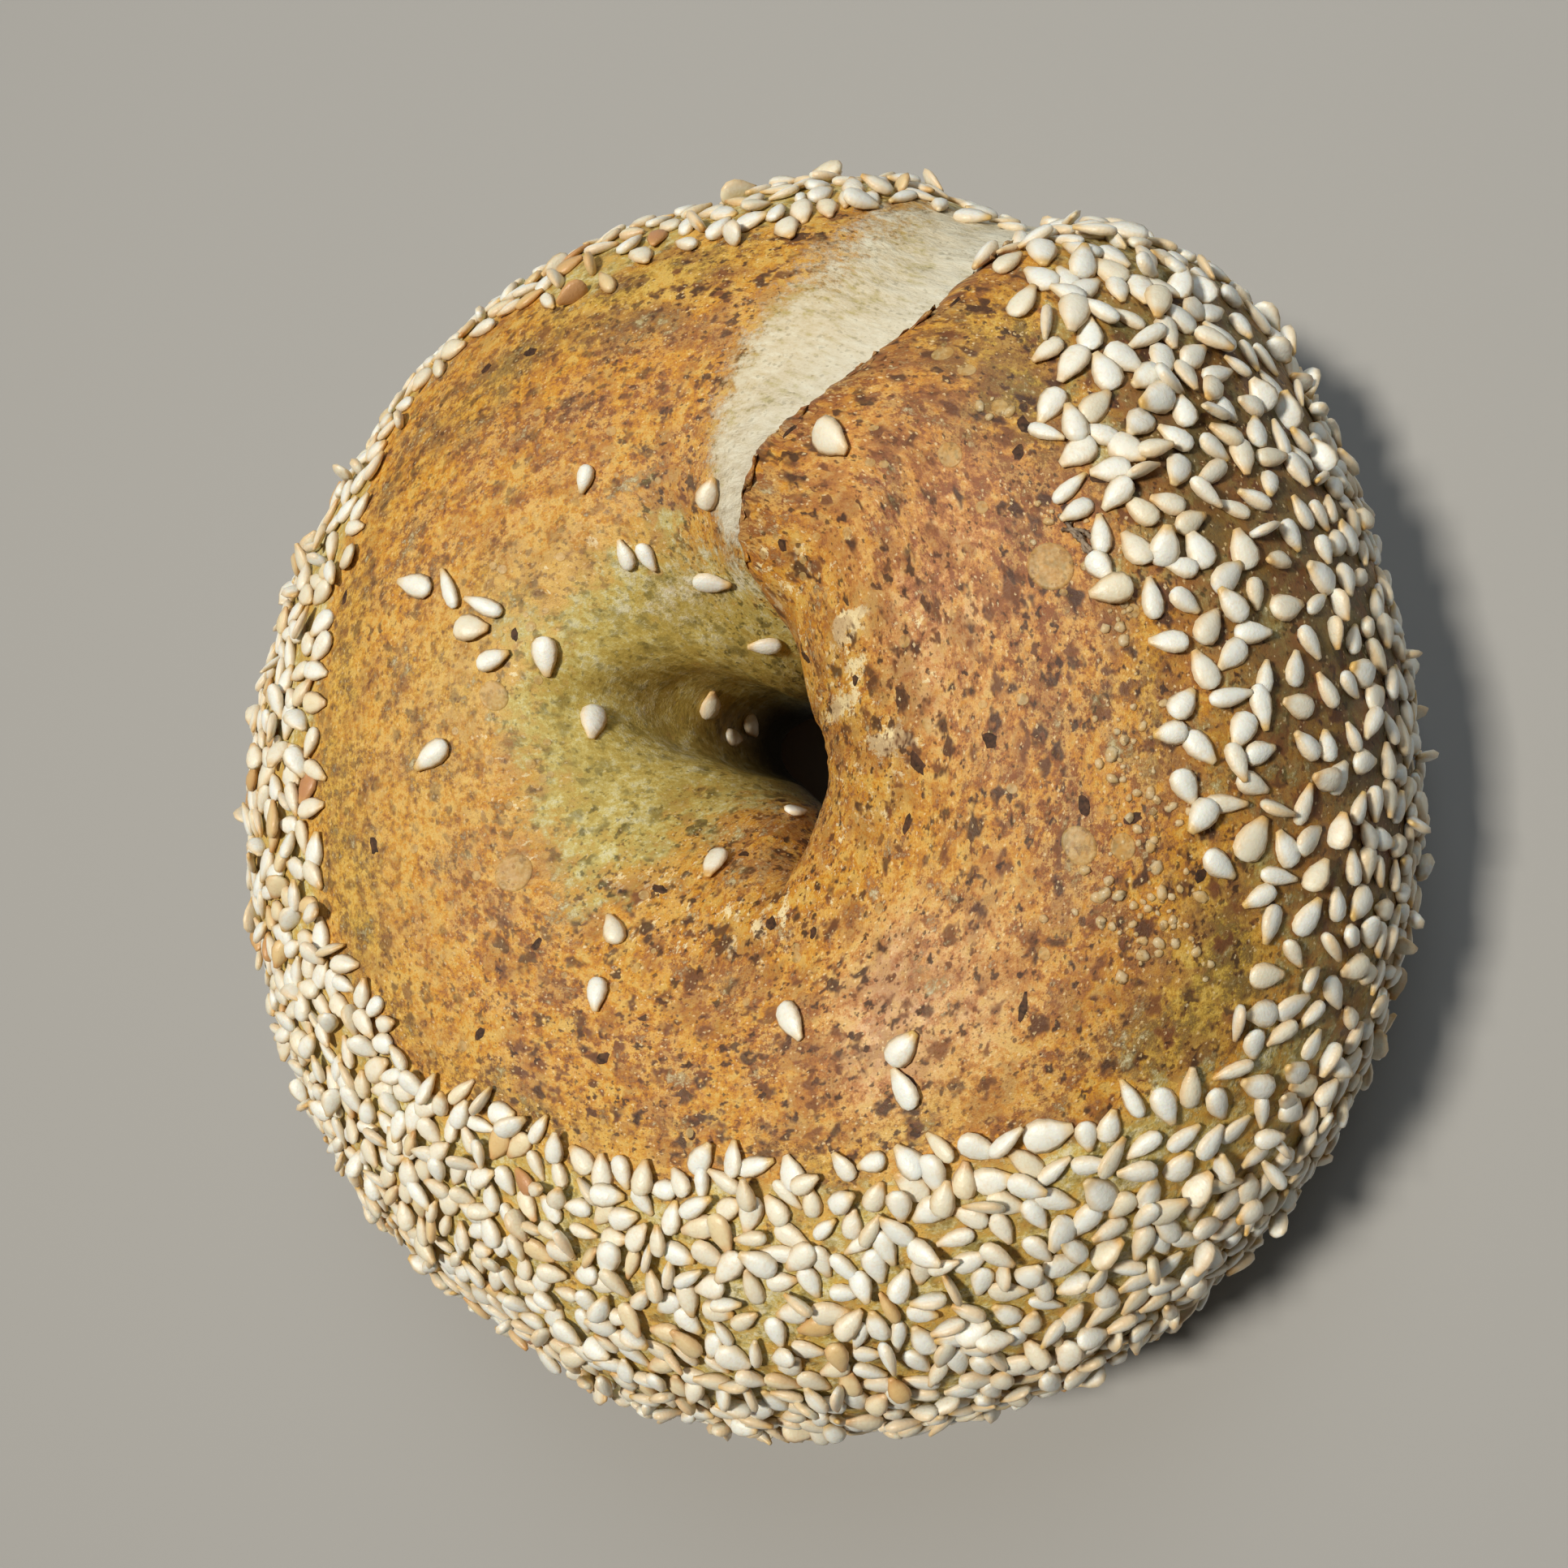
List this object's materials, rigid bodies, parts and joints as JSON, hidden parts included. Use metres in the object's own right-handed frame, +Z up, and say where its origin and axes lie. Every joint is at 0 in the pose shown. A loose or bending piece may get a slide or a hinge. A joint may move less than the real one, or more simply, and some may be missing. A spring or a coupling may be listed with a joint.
{
  "type": "bagel",
  "caption": "Hand-rolled bread ring with a small hole, one end lapped over the other, and sesame seeds round its sides.",
  "frame": {"origin": "on the base plane, under the middle of the outline", "axes": "+Z up through the hole, +X towards the side that the picture was taken from, +Y towards the picture's upper edge"},
  "size_m": [0.1047, 0.1034, 0.0418],
  "materials": {
    "crust": "toasted bread crust",
    "sesame_seed": "satin hull"
  },
  "bodies": {
    "root": {"bagel": "crust"}
  },
  "joints": []
}
